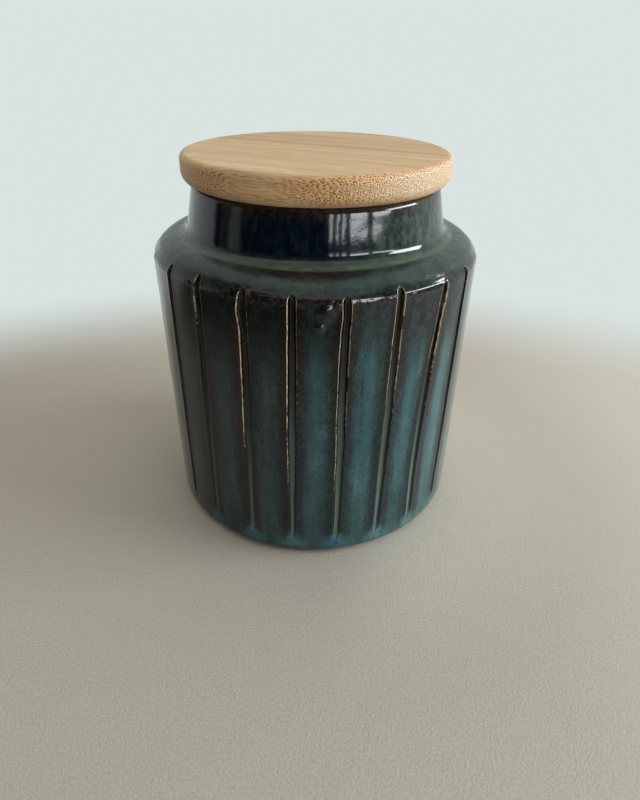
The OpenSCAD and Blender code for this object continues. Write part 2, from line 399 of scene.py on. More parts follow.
class Nodes:
    """Short calls for building one material's node tree."""

    def __init__(self, name):
        self.material = bpy.data.materials.new(name)
        self.material.use_nodes = True
        self.tree = self.material.node_tree
        self.shader = self.tree.nodes["Principled BSDF"]

    def add(self, kind, **settings):
        node = self.tree.nodes.new("ShaderNode" + kind)
        for key, value in settings.items():
            setattr(node, key, value)
        return node

    def put(self, socket, value):
        if isinstance(value, bpy.types.NodeSocket):
            self.tree.links.new(value, socket)
        else:
            socket.default_value = value

    def put_all(self, node, values):
        for socket, value in zip(node.inputs, values):
            self.put(socket, value)

    def math(self, operation, a, b=0.0, clamp=False):
        node = self.add("Math", operation=operation, use_clamp=clamp)
        self.put_all(node, (a, b))
        return node.outputs[0]

    def plus(self, a, b):
        return self.math("ADD", a, b)

    def times(self, a, b):
        return self.math("MULTIPLY", a, b)

    def total(self, first, *others):
        for other in others:
            first = self.plus(first, other)
        return first

    def sway(self, noise, amount):
        """A noise's swing about its middle, over the given amount."""
        return self.times(self.plus(noise, -0.5), amount)

    def reach(self, x, y):
        return self.math("SQRT", self.plus(self.times(x, x), self.times(y, y)))

    def step(self, value, low, high, out_low=0.0, out_high=1.0):
        """Smooth change from out_low to out_high as value goes from low to high."""
        node = self.add("MapRange", interpolation_type="SMOOTHSTEP")
        self.put_all(node, (value, low, high, out_low, out_high))
        return node.outputs[0]

    def mix(self, part, a, b):
        node = self.add("Mix", data_type="RGBA", clamp_factor=True)
        self.put(node.inputs[0], part)
        self.put(node.inputs[6], a)
        self.put(node.inputs[7], b)
        return node.outputs[2]

    def mix_values(self, part, a, b):
        return self.plus(a, self.times(part, self.plus(b, self.times(a, -1))))

    def tones(self, value, low, high, pair):
        """From the pair's first colour to its second as value goes from low to high."""
        return self.mix(self.step(value, low, high), *pair)

    def attribute(self, name):
        return self.add("Attribute", attribute_name=name).outputs["Fac"]

    def position(self):
        """Place on the piece, in millimetres."""
        node = self.add("VectorMath", operation="SCALE")
        self.put(node.inputs[0], self.add("TexCoord").outputs["Object"])
        node.inputs["Scale"].default_value = 1 / MM
        return node.outputs[0]

    def turned(self, vector, angle):
        node = self.add("VectorRotate", rotation_type="Z_AXIS")
        self.put(node.inputs["Vector"], vector)
        node.inputs["Angle"].default_value = angle
        return node.outputs[0]

    def stretched(self, vector, x, y, z, shift=(0, 0, 0)):
        node = self.add("VectorMath", operation="MULTIPLY_ADD")
        self.put(node.inputs[0], vector)
        node.inputs[1].default_value = (x, y, z)
        node.inputs[2].default_value = shift
        return node.outputs[0]

    def distance(self, vector, point):
        node = self.add("VectorMath", operation="DISTANCE")
        self.put_all(node, (vector, point))
        return node.outputs["Value"]

    def split(self, vector):
        node = self.add("SeparateXYZ")
        self.put(node.inputs[0], vector)
        return node.outputs

    def noise(self, vector, scale, detail=3.0, roughness=0.55):
        node = self.add("TexNoise")
        self.put(node.inputs["Vector"], vector)
        node.inputs["Scale"].default_value = scale
        node.inputs["Detail"].default_value = detail
        node.inputs["Roughness"].default_value = roughness
        return node.outputs["Fac"]

    def cells(self, vector, scale, randomness=1.0, dimensions="3D"):
        node = self.add("TexVoronoi", voronoi_dimensions=dimensions)
        self.put(node.inputs["Vector"], vector)
        node.inputs["Scale"].default_value = scale
        node.inputs["Randomness"].default_value = randomness
        return node.outputs["Distance"]

    def ramp(self, value, stops, smooth=True):
        node = self.add("ValToRGB")
        ramp = node.color_ramp
        ramp.interpolation = "EASE" if smooth else "LINEAR"
        while len(ramp.elements) < len(stops):
            ramp.elements.new(0.5)
        for element, (place, colour) in zip(ramp.elements, stops):
            element.position = place
            element.color = colour
        self.put(node.inputs[0], value)
        return node.outputs["Color"]

    def bump(self, height, distance_mm, strength=1.0):
        node = self.add("Bump")
        node.inputs["Strength"].default_value = strength
        node.inputs["Distance"].default_value = distance_mm * MM
        self.put(node.inputs["Height"], height)
        return node.outputs["Normal"]

    def finish(self, colour, roughness, normal, **constants):
        self.put(self.shader.inputs["Base Color"], colour)
        self.put(self.shader.inputs["Roughness"], roughness)
        self.put(self.shader.inputs["Normal"], normal)
        for key, value in constants.items():
            self.shader.inputs[key.replace("_", " ")].default_value = value
        return self.material

    def glow(self, colour):
        node = self.add("Emission")
        self.put(node.inputs["Color"], colour)
        return node.outputs[0]

    def blend(self, part, a, b):
        node = self.add("MixShader")
        self.put_all(node, (part, a, b))
        return node.outputs[0]

    def surface(self, shader):
        self.put(self.tree.nodes["Material Output"].inputs["Surface"], shader)
        return self.material


def jar_outline():
    """Rows of the jar's surface from the middle of the foot, up the outside and down to the inner floor."""
    corners = [
        (0, FOOT_RECESS, 0),
        (FOOT_R - FOOT_RECESS, FOOT_RECESS, RECESS_EDGE_R),
        (FOOT_R, 0, FOOT_EDGE_R),
        (BASE_R, 0, BASE_EDGE_R),
        (WALL_R, EDGE_Z - BEVEL_DOWN, SHOULDER_EDGE_R),
        (WALL_R - BEVEL_IN, EDGE_Z + BEVEL_UP, SHOULDER_EDGE_R),
        (CROWN_R, CROWN_Z, SHOULDER_CROWN_R),
        (NECK_FOOT_R, NECK_FOOT_Z, NECK_FILLET_R),
        (NECK_TOP_R, JAR_H, RIM_OUTER_R),
        (BORE_R, JAR_H, RIM_INNER_R),
        (BORE_R, ROOF_Z, MOUTH_R),
        (WALL_R - WALL_T, ROOF_Z, SHOULDER_INNER_R),
        (BASE_R - WALL_T, FLOOR_Z, INNER_CORNER_R),
        (0, FLOOR_Z, 0),
    ]

    def step_at(radius, height):
        if radius <= OUTSIDE_R:
            return NECK_STEP if height > NECK_FOOT_Z - NECK_ZONE else PLAIN_STEP
        if abs(height - EDGE_Z) < EDGE_ZONE:
            return EDGE_STEP
        return WALL_STEP if WALL_ENDS[0] <= height <= WALL_ENDS[1] else END_STEP

    return subdivided(rounded(corners), step_at)


def signed(i):
    """A groove's count from the first one, negative to the left of it."""
    return i if i <= GROOVES // 2 else i - GROOVES


def groove_lines(heights):
    """For every groove: its middle in degrees, and its left and right half widths, at each height."""
    draws = np.random.RandomState(4)
    rise = (heights - GROOVE_LEAN_Z) / (EDGE_Z - GROOVE_LEAN_Z)
    top = np.exp(-((heights - FLARE_Z) / FLARE_REACH) ** 2)
    taper = (0.9 + 0.12 * smoothstep(104, 75, heights)) * (0.8 + 0.2 * smoothstep(12, 60, heights))
    middles, halves = [], []
    for i in range(GROOVES):
        k = signed(i)
        own = draws.uniform(-1, 1, 4)
        turn, lean = GROOVE_FRONT.get(k, (0.9 * own[0], 0.9 * own[1]))
        flare = GROOVE_FLARE.get(k, (0.4 * own[2], 0.4 * own[3]))
        middle = GROOVE_TURN + k * PITCH + turn + (GROOVE_LEAN + lean) * (rise - 0.5)
        middle = middle + GROOVE_BOW.get(k, 0) * np.clip(1 - (2 * rise - 1) ** 2, 0, 1)
        middles.append(middle + 0.12 * smooth_noise(100 + i, heights, 17))
        for side in (0, 1):
            width = GROOVE_W / 2 * taper + 0.1 * smooth_noise(200 + 2 * i + side, heights, 9)
            width = width + 0.045 * smooth_noise(300 + 2 * i + side, heights, 2.6)
            halves.append(width + flare[side] * top)
    return np.array(middles), np.array(halves[::2]), np.array(halves[1::2])


def groove_runs(radius, height, outer):
    """The cutter's half width at each row, and along every groove its share of the full width, the cutter's
    distance out, the gap beyond its ends and the height of its tip."""
    recess = np.where(outer, BASE_R + (WALL_R - BASE_R) * height / EDGE_Z - radius, OFF_WALL)
    below_centre = np.maximum(GROOVE_END_Z + GROOVE_R - height, 0)
    ball = np.sqrt(np.maximum(GROOVE_R ** 2 - below_centre ** 2, 0))
    runs = []
    for i in range(GROOVES):
        sunk = np.where(height > MIDWAY_Z, recess * GROOVE_TIP.get(signed(i), 1.0), recess)
        reach = np.sqrt(np.maximum(ball ** 2 - (GROOVE_OUT + sunk) ** 2, 0)) * (recess < FAR)
        open_here = outer & (reach > 0)
        tip = height[open_here].max()
        beyond = np.where(height > MIDWAY_Z, height - tip, GROOVE_END_Z + 0.6 - height)
        gap = np.clip(np.where(open_here, 0, beyond), 0, FAR)
        runs.append(SimpleNamespace(share=reach / (GROOVE_W / 2), out=GROOVE_OUT + sunk, gap=gap, tip=tip))
    return ball, runs


def jar_grid(outline):
    """Angles, cut depths and shading values of every point of the jar, rows by columns."""
    radius, height = outline[:, 0], outline[:, 1]
    outer = np.zeros(len(outline), bool)
    outer[:int(np.argmax(height >= NECK_FOOT_Z - 0.2))] = True
    outer &= height > 0.2
    ball, runs = groove_runs(radius, height, outer)
    middles, lefts, rights = groove_lines(height)
    unfilled = 0.5 + 0.5 * smoothstep(20, 85, height)
    angle, cut, arris, side, gap = [], [], [], [], []
    for i, run in enumerate(runs):
        wide = {-1: lefts[i] * run.share, 1: rights[i] * run.share}
        for s in IN_GROOVE:
            half, full = (wide[-1], lefts[i]) if s < 0 else (wide[1], rights[i])
            across = s * np.maximum(half, LEAST_HALF)
            angle.append(middles[i] + across / PER_DEGREE)
            as_even = across / np.maximum(full / (GROOVE_W / 2), 0.1)
            deep = np.sqrt(np.maximum(ball ** 2 - as_even ** 2, 0)) - run.out
            cut.append(np.maximum(deep, 0) * (run.share > 0) * unfilled)
            arris.append(np.abs(across) - half)
            gap.append(run.gap)
            side.append(np.full(len(height), np.sign(s)))
        n = (i + 1) % GROOVES
        start = middles[i] + np.maximum(wide[1], LEAST_HALF) / PER_DEGREE
        end = middles[n] - np.maximum(lefts[n] * runs[n].share, LEAST_HALF) / PER_DEGREE
        end = end + np.where(end < start, 360, 0)
        panel = (end - start) * PER_DEGREE
        places = [np.full(len(height), b) for b in BESIDE]
        inner = panel - 2 * BESIDE[-1]
        places += [BESIDE[-1] + inner * p / PANEL_PARTS for p in range(1, PANEL_PARTS)]
        places += [panel - b for b in BESIDE[::-1]]
        for place in places:
            angle.append(start + place / PER_DEGREE)
            cut.append(np.zeros(len(height)))
            arris.append(np.minimum(place, panel - place))
            side.append(1 - 2 * place / panel)
            gap.append(np.where(2 * place <= panel, run.gap, runs[n].gap))
    columns = [np.array(values).T for values in (angle, cut, arris, side, gap)]
    return columns, [run.tip for run in runs], outer


def hand_waves(angle, height):
    """Slow unevenness of hand work, from 0 to 1."""
    turn = np.radians(angle)
    z = height[:, None]
    waves = np.sin(3 * turn + 0.05 * z) + np.sin(5 * turn - 0.09 * z + 1.3)
    waves = waves + np.sin(7 * turn + 0.16 * z + 4.1) + np.sin(23 * turn + 0.11 * z + 2.0)
    waves = waves + np.sin(0.33 * z + 2 * turn)
    return 0.5 + waves / 10


def make_jar():
    outline = jar_outline()
    radius, height = outline[:, 0], outline[:, 1]
    (angle, cut, arris, side, gap), tips, outer = jar_grid(outline)
    rows, columns = angle.shape
    arris = np.where(gap > 0, np.hypot(np.maximum(arris, 0), gap), arris)

    lift = smoothstep(0.9, 0.1, np.abs(arris)) * ARRIS_LIFT
    skin = np.where(outer[:, None], SKIN_LEAST + SKIN_WAVES * hand_waves(angle, height) - lift, 0.0)
    neck = (height > NECK_FOOT_Z - 0.2) & (radius > BORE_R + 1)
    skin = np.where(neck[:, None], NECK_WAVES * hand_waves(angle, height * 2), skin)
    round_r = np.maximum(radius[:, None] - cut - np.maximum(skin, 0), 0)
    verts = turned_points(round_r, np.radians(angle), np.broadcast_to(height[:, None], angle.shape))

    inner = slice(1, rows - 1)
    body = verts[inner].reshape(-1, 3)
    faces = grid_faces(rows - 2, columns)
    low, high = len(body), len(body) + 1
    last = (rows - 3) * columns
    for j in range(columns):
        n = (j + 1) % columns
        faces.append((low, n, j))
        faces.append((high, last + j, last + n))
    poles = [(0, 0, height[0] * MM), (0, 0, height[-1] * MM)]
    obj = mesh_object("jar_glazed", np.vstack([body, poles]).tolist(), faces)

    shade_jar(obj, angle[inner], height[inner], radius[inner], arris[inner], side[inner], tips)
    clay_rows = (height[inner] < CLAY_TOP_Z) & (np.arange(rows - 2) < rows // 2)
    bare = np.append(np.repeat(clay_rows[:-1], columns), [True, False] * columns)
    obj.data.materials.append(glaze_material())
    obj.data.materials.append(clay_material())
    obj.data.polygons.foreach_set("material_index", bare.astype(np.int32))
    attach(obj, "jar")
    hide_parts("jar")


def bared_strength(i, side, height, own, tip):
    """How far one edge of a groove is bared at each height; side is -1 for the left and 1 for the right."""
    spare = (0.6 + 0.4 * own[0], 30 + 30 * own[2], 0.3 + 0.4 * own[1], 45 + 30 * own[3])
    values = BARED.get(signed(i), spare)
    bright, end = values[:2] if side < 0 else values[2:]
    seed = 2 * i + (side > 0)
    rough = 0.85 + 0.3 * smooth_noise(500 + seed, height, 2.2) + 0.2 * smooth_noise(600 + seed, height, 7)
    strength = bright * smoothstep(end - 14, end + 26, height) * rough
    strength = strength * (0.7 + 0.3 * smoothstep(60, 95, height))
    return strength * smoothstep(tip + 0.5, tip - 0.9, height)


def shade_jar(obj, angle, height, radius, arris, side, tips):
    """Values per point that the glaze is painted by."""
    z = np.broadcast_to(height[:, None], angle.shape)
    draws = np.random.RandomState(9)
    paint = {name: np.zeros(angle.shape) for name in ("line", "blue", "cool", "lower", "pool", "deep")}
    paint["arris"], paint["side"] = arris, side
    per_groove = len(IN_GROOVE)
    per_period = angle.shape[1] // GROOVES
    spread = 1.2 + 3.0 * smoothstep(12, 5, z)
    for i in range(GROOVES):
        k = signed(i)
        own = draws.uniform(0, 1, 6)
        first = i * per_period
        here = np.s_[:, first:first + per_period]
        paint["blue"][here] = PANEL_BLUE.get(k, 0.45 + 0.5 * own[4])
        paint["cool"][here] = PANEL_COOL.get(k, 0.1 * own[5] - 0.05)
        paint["lower"][here] = PANEL_LOW.get(k, 0.0)
        for s, column in ((-1, first), (1, first + per_groove - 1)):
            strength = bared_strength(i, s, height, own, tips[i])
            for offset in (-1, 0, 1):
                paint["line"][:, (column + offset) % angle.shape[1]] = strength
        strength, blueness = DROPS.get(k, (0.3 + 0.6 * own[5], 0.5 * own[4]))
        across = (angle - angle[:, first + per_groove // 2][:, None] + 180) % 360 - 180
        across = across * PER_DEGREE
        drop = strength * np.exp(-(across / spread) ** 2) * smoothstep(15, 8.5, z) * smoothstep(2.5, 5, z)
        heart = np.exp(-(across / 2.9) ** 2 - ((z - 5.4) / 2.7) ** 2)
        paint["pool"] = np.maximum(paint["pool"], drop)
        paint["deep"] = np.maximum(paint["deep"], blueness * heart)
    within = np.arange(len(height)) >= np.argmax((radius < BORE_R + 1.2) & (height > JAR_H - 10))
    paint["inside"] = np.repeat(within, angle.shape[1])
    for name, values in paint.items():
        set_attribute(obj, name, np.append(values, POLES.get(name, (0.0, 0.0))))


def glaze_fields(m):
    """Places, painted values and noises that the parts of the glaze share."""
    place = m.position()
    x, y, z = m.split(place)
    f = SimpleNamespace(place=place, x=x, y=y, z=z, round_r=m.reach(x, y))
    for name in ("arris", "side", "line", "blue", "cool", "lower", "pool", "deep", "inside"):
        setattr(f, name, m.attribute(name))
    for name, (squash, scale, detail, roughness) in GLAZE_NOISES.items():
        shift = HUE_SHIFT if name == "hue" else (0, 0, 0)
        setattr(f, name, m.noise(m.stretched(place, 1, 1, squash, shift), scale, detail, roughness))
    f.wander = m.total(m.sway(f.grain, 2.4), m.sway(f.streak, 3.0), m.sway(f.feather, 3.6))
    f.open_blue = m.step(f.blue, 0.6, 1.0)
    f.level = m.total(z, m.sway(f.blot, 24), m.times(f.open_blue, -8), m.times(f.lower, m.step(z, 50, 80)))
    f.band_edge = m.plus(z, m.plus(m.sway(f.speck, 6.5), m.sway(f.blot, 4)))
    return f


def panel_glaze(m, f):
    """Teal along the middle of each panel, dark beside the grooves, and lighter at the far right as a painted
    reflection.
    """
    far_right = m.step(f.x, 30, 44)
    shy = m.mix_values(far_right, m.step(f.side, 0.2, -0.9), m.step(f.side, -0.4, 0.8))
    middle = m.step(m.total(f.arris, f.wander, m.times(shy, -1.3)), 0.4, 6.0)
    tone = m.total(m.times(f.streak, 0.32), m.times(f.grain, 0.22), m.times(f.blot, 0.12),
                   m.times(f.feather, 0.14), m.times(f.hair, 0.2))
    green = m.ramp(tone, list(zip(TONE_STOPS, GREEN)))
    sea = m.ramp(tone, list(zip(TONE_STOPS, SEA)))
    cool = m.total(f.hue, f.cool, m.times(m.plus(f.z, -60), 0.003))
    teal = m.mix(m.step(cool, 0.36, 0.62), green, sea)
    # Painted reflection: the teal lighter towards the far right
    teal = m.mix(m.times(far_right, 0.25), teal, RIGHT_SHEEN_TEAL)
    edge = m.tones(f.grain, 0.42, 0.62, EDGE_DARK)
    edge = m.mix(m.times(m.step(f.feather, 0.48, 0.68), 0.8), edge, EDGE_FEATHER)
    edge_low = m.tones(f.grain, 0.4, 0.66, EDGE_LOW)
    edge = m.mix(m.times(m.step(f.z, 95, 35), m.step(f.blue, 0.3, 1.0)), edge, edge_low)
    runs = m.ramp(m.times(f.level, 1 / 120), RUN_STOPS)
    return m.mix(m.times(m.times(middle, runs), f.blue), edge, teal)


def upper_glaze(m, f, wall):
    """The panels' dark top, with rust and a dark band under the shoulder's edge."""
    dusk = m.times(m.step(f.level, 78, 96), m.step(m.plus(f.arris, f.wander), 0.6, 3.6))
    upper = m.tones(f.fleck, 0.4, 0.62, (DUSK_DARK, m.mix(f.open_blue, *DUSK_LIGHT)))
    wall = m.mix(m.times(dusk, 0.85), wall, upper)
    rust = m.times(m.step(f.grain, 0.5, 0.66), m.step(m.plus(f.z, m.times(f.fleck, 14)), 94, 108))
    wall = m.mix(m.times(rust, 0.4), wall, RUST)
    band = m.times(m.step(f.band_edge, EDGE_Z - 2.5, EDGE_Z - 0.9), 0.9)
    return m.mix(band, wall, m.tones(f.speck, 0.44, 0.6, BAND))


def smudge_and_reflection_share(m, f):
    """Where the ledge is dark brown: a lens in front of the neck, part smudge and part painted reflection of
    the lid, and patches of a ring at the back.
    """
    off_middle = m.plus(f.x, -SMUDGE_AND_REFLECTION_X)
    lens = m.plus(m.times(m.times(off_middle, off_middle), -SMUDGE_AND_REFLECTION_W / SMUDGE_AND_REFLECTION_HALF ** 2), SMUDGE_AND_REFLECTION_W)
    smear = m.plus(f.round_r, m.sway(f.fleck, 5))
    clear_of_neck = m.step(smear, SMUDGE_AND_REFLECTION_R - 0.6, SMUDGE_AND_REFLECTION_R + 0.7)
    spread = m.step(m.total(lens, SMUDGE_AND_REFLECTION_R, m.times(smear, -1)), -0.6, 0.8)
    # The lens in front of the neck is partly a painted reflection of the lid
    smudge_and_reflection = m.times(m.times(spread, clear_of_neck), m.step(f.y, -30, -40))
    smudge_and_reflection = m.times(smudge_and_reflection, m.step(f.x, 22, 6, 0.4, 0.95))
    ring = m.times(m.step(smear, 55.0, 53.5), clear_of_neck)
    ring = m.times(m.times(ring, m.step(f.blot, 0.46, 0.6)), m.step(f.y, -12, 8, 0.0, 0.6))
    return m.math("MAXIMUM", smudge_and_reflection, ring)


def olive_glaze(m, f):
    """Olive of the fillet at the foot of the neck."""
    olive = m.tones(f.blot, 0.36, 0.62, OLIVE)
    olive_low = m.tones(f.fleck, 0.36, 0.64, OLIVE_LOW)
    return m.mix(m.step(f.z, NECK_FOOT_Z + 0.9, NECK_FOOT_Z - 0.2), olive, olive_low)


def shoulder_glaze(m, f, olive):
    """Even teal with brown mottle, darker to the left with painted shade, browner to the right, and dark
    brown on the ledge that in front of the neck is partly a painted reflection of the lid.
    """
    shoulder = m.tones(f.blot, 0.34, 0.62, SHOULDER)
    mottle = m.step(m.plus(f.fleck, m.times(m.step(f.z, NECK_FOOT_Z - 1.5, EDGE_Z), 0.28)), 0.5, 0.74)
    shoulder = m.mix(m.times(mottle, 0.75), shoulder, m.tones(f.speck, 0.42, 0.6, SHOULDER_MOTTLE))
    # Painted shade: the shoulder darker towards the left
    shoulder = m.mix(m.step(f.x, -8, -45, 0.0, 0.4), shoulder, SHOULDER_LEFT_SHADE)
    tan = m.times(m.step(f.x, 10, 34), m.step(m.plus(f.fleck, m.sway(f.grain, 0.3)), 0.46, 0.62))
    shoulder = m.mix(m.times(tan, 0.5), shoulder, SHOULDER_RIGHT)
    # Dark brown on the ledge, in front of the neck partly a painted reflection of the lid
    shoulder = m.mix(smudge_and_reflection_share(m, f), shoulder, m.tones(f.speck, 0.4, 0.62, SMUDGE_AND_REFLECTION))
    fillet = m.step(m.plus(f.round_r, m.sway(f.fleck, 1.6)), 52.2, 50.6)
    return m.mix(m.times(fillet, 0.9), shoulder, olive)


def neck_glaze(m, f, olive):
    """Blue black, with moss colour to the right that is partly painted light, with drips, and worn brown
    under the lid.
    """
    neck = m.tones(f.fleck, 0.42, 0.64, NECK)
    # Partly painted light: the neck lighter and mossier towards the lit right
    moss_and_light = m.step(m.plus(f.x, m.sway(f.blot, 30)), 8, 30)
    neck = m.mix(m.times(moss_and_light, 0.9), neck, m.tones(f.fleck, 0.36, 0.66, MOSS_AND_LIGHT))
    top = m.step(m.plus(f.z, m.times(f.drip, 8)), JAR_H - 1.5, JAR_H + 4)
    neck = m.mix(m.times(m.times(m.step(f.speck, 0.36, 0.6), top), 0.85), neck, WORN)
    neck = m.mix(m.times(m.step(f.drip, 0.6, 0.72), 0.4), neck, DRIP)
    foot = m.step(m.plus(f.z, m.sway(f.fleck, 4)), NECK_FOOT_Z + 3.2, NECK_FOOT_Z + 1.0)
    # The olive at the neck's foot is a little stronger to the right, with the painted light
    return m.mix(m.times(foot, m.plus(m.times(moss_and_light, 0.15), 0.8)), neck, olive)


def bared_share(m, f):
    """Ragged lines of bared clay along the grooves' edges."""
    ragged = m.plus(f.arris, m.sway(f.grain, 0.5))
    bared = m.step(m.math("ABSOLUTE", ragged), 0.16, 0.05)
    return m.times(bared, m.step(m.plus(f.line, m.sway(f.speck, 1.5)), 0.15, 0.65))


def groove_glaze(m, f, wall, bared):
    """The grooves' beds, painted shade on their flanks, bared edges, and the drops of glaze at their feet."""
    within = m.times(f.arris, -1)
    open_z = m.plus(f.z, m.times(m.math("MAXIMUM", f.blue, 0.55), -62))
    bed = m.ramp(m.times(m.plus(open_z, 60), 1 / 110), BED_STOPS)
    # Painted shade on the grooves' walls
    wall = m.mix(m.step(within, -0.05, 0.2), wall, m.tones(f.z, 80, 30, FLANK_SHADE))
    wall = m.mix(m.step(within, 0.35, 1.0), wall, bed)
    wall = m.mix(bared, wall, m.tones(f.grain, 0.28, 0.58, BARE_LINE))
    wall = m.mix(m.times(f.pool, m.step(f.speck, 0.2, 0.6)), wall, POOL)
    return m.mix(m.times(f.deep, m.step(f.speck, 0.3, 0.6)), wall, POOL_DEEP)


def glaze_relief(m, f, ledge):
    """Height of the glaze's fine relief, in millimetres."""
    peel = m.times(m.noise(f.place, 1.0, 2, 0.5), 0.009)
    swell = m.times(m.noise(f.place, 0.16, 1, 0.5), 0.05)
    wavy = m.times(m.times(m.noise(f.place, 0.22, 2, 0.5), 0.35), ledge)
    near_edge = m.step(m.math("ABSOLUTE", m.plus(f.z, -EDGE_Z)), 1.6, 0.4)
    rough_edge = m.times(m.times(m.noise(f.place, 0.5, 2, 0.6), 0.08), near_edge)
    blister = m.times(m.step(m.cells(f.place, 0.07), 0.085, 0.0), m.times(m.step(f.z, 92, 97), 0.25))
    height = m.total(peel, swell, wavy, rough_edge, blister)
    for turn, rise, size, tall in BEADS:
        spot = (WALL_R * math.sin(math.radians(turn)), -WALL_R * math.cos(math.radians(turn)), rise)
        height = m.plus(height, m.times(m.step(m.distance(f.place, spot), size, 0.0), tall))
    return height


def glaze_material():
    m = Nodes("reactive_glaze")
    f = glaze_fields(m)
    olive = olive_glaze(m, f)
    wall = upper_glaze(m, f, panel_glaze(m, f))
    shoulder_edge = m.plus(f.band_edge, m.times(m.step(f.x, 12, -18), -1.8))
    wall = m.mix(m.step(shoulder_edge, EDGE_Z - 0.6, EDGE_Z + 2.2), wall, shoulder_glaze(m, f, olive))
    wall = m.mix(m.step(f.z, NECK_FOOT_Z + 0.2, NECK_FOOT_Z + 1.2), wall, neck_glaze(m, f, olive))
    lip = m.step(m.plus(f.z, m.times(f.speck, 1.4)), JAR_H - 0.1, JAR_H + 0.5)
    wall = m.mix(lip, wall, LIP)
    bared = bared_share(m, f)
    wall = groove_glaze(m, f, wall, bared)
    wall = m.mix(m.step(f.z, 2.6, 1.2), wall, FOOT_BROWN)
    colour = m.mix(f.inside, wall, m.mix(f.streak, *LINING))
    ledge = m.times(m.step(f.z, EDGE_Z + 2.0, EDGE_Z + 3.8),
                    m.step(f.z, NECK_FOOT_Z + 1.6, NECK_FOOT_Z + 0.2))
    rough = m.plus(m.times(f.grain, 0.06), m.plus(m.times(bared, 0.3), 0.06))
    rough = m.plus(rough, m.times(ledge, m.plus(m.times(f.blot, 0.3), 0.08)))
    return m.finish(colour, rough, m.bump(glaze_relief(m, f, ledge), 1.0), Specular_IOR_Level=0.42)


def clay_material():
    m = Nodes("bare_stoneware")
    place = m.position()
    grain = m.noise(place, 1.8, 5, 0.7)
    speck = m.cells(place, 0.5)
    colour = m.mix(m.step(speck, 0.25, 0.12), m.mix(grain, *CLAY), CLAY_SPECK)
    return m.finish(colour, m.step(grain, 0.2, 0.8, 0.75, 0.92), m.bump(grain, 0.12, 0.8))


def bamboo_dots(m, grain, broad, shift):
    """Ends of the fibres: coarse near the top face, dense below it."""
    _, y, z = m.split(grain)
    wind = m.sway(m.noise(m.stretched(grain, 0.05, 0.12, 0.12, shift), 1.0, 2), 3.0)
    across = m.add("CombineXYZ")
    m.put_all(across, (m.plus(y, wind), m.plus(z, wind)))
    coarse = m.step(m.cells(across.outputs[0], 1.65, 0.6, "2D"), 0.4, 0.26)
    dense = m.step(m.cells(across.outputs[0], 2.3, 0.7, "2D"), 0.45, 0.26)
    low = m.step(m.plus(z, m.sway(broad, 4)), LID_TOP_Z - 2.0, LID_TOP_Z - 5.0)
    return m.plus(m.times(coarse, m.math("SUBTRACT", 1.0, low)), m.times(dense, low))


def bamboo_material(name, shift, tone, turn=GRAIN_TURN):
    """Solid bamboo: fibres run along the grain, so they show as streaks on top and as dots at their ends."""
    m = Nodes(name)
    grain = m.turned(m.position(), -turn)
    facing = m.split(m.turned(m.add("TexCoord").outputs["Normal"], -turn))
    broad = m.noise(m.stretched(grain, 0.012, 0.35, 0.35, shift), 0.6, 3, 0.5)
    lines = m.noise(m.stretched(grain, 0.03, 1, 1, shift), 1.1, 4, 0.65)
    thin = m.noise(m.stretched(grain, 0.06, 1, 1, shift), 3.2, 2, 0.5)
    end_grain = m.math("ABSOLUTE", facing[0])
    ends = m.times(m.step(end_grain, 0.08, 0.5), m.step(m.split(grain)[0], -42, 0, 0.12, 1.0))
    rim = m.step(m.math("ABSOLUTE", facing[2]), 0.85, 0.4)
    dots = bamboo_dots(m, grain, broad, shift)
    broken = m.times(dots, m.step(thin, 0.36, 0.56, 0.35, 1.0))

    colour = m.tones(broad, 0.3, 0.7, tone)
    colour = m.mix(m.times(m.step(lines, 0.42, 0.68), 0.45), colour, GRAIN_LINES)
    colour = m.mix(m.times(m.step(thin, 0.5, 0.72), 0.4), colour, GRAIN_THIN)
    cut = m.tones(end_grain, 0.4, 0.95, CUT_ENDS)
    colour = m.mix(m.times(ends, 0.7), colour, cut)
    # Painted warm light on the lid's sides
    colour = m.mix(m.times(rim, 0.4), colour, m.mix(ends, RIM_WARM_LIGHT, cut))
    dark = m.times(broken, m.total(m.times(ends, 0.72), m.times(rim, 0.36), 0.08))
    colour = m.mix(dark, colour, FIBRE)
    rough = m.plus(m.times(lines, 0.16), 0.45)
    height = m.plus(m.times(lines, 0.03), m.times(dots, -0.03))
    return m.finish(colour, rough, m.bump(height, 1.0), Specular_IOR_Level=0.3)


def silicone_material():
    m = Nodes("silicone")
    place = m.position()
    dust = m.noise(place, 3.0, 4, 0.7)
    colour = m.mix(m.noise(place, 0.4, 3), *SILICONE)
    rough = m.step(dust, 0.3, 0.7, 0.32, 0.48)
    return m.finish(colour, rough, m.bump(dust, 0.02, 0.5), Subsurface_Weight=0.15)


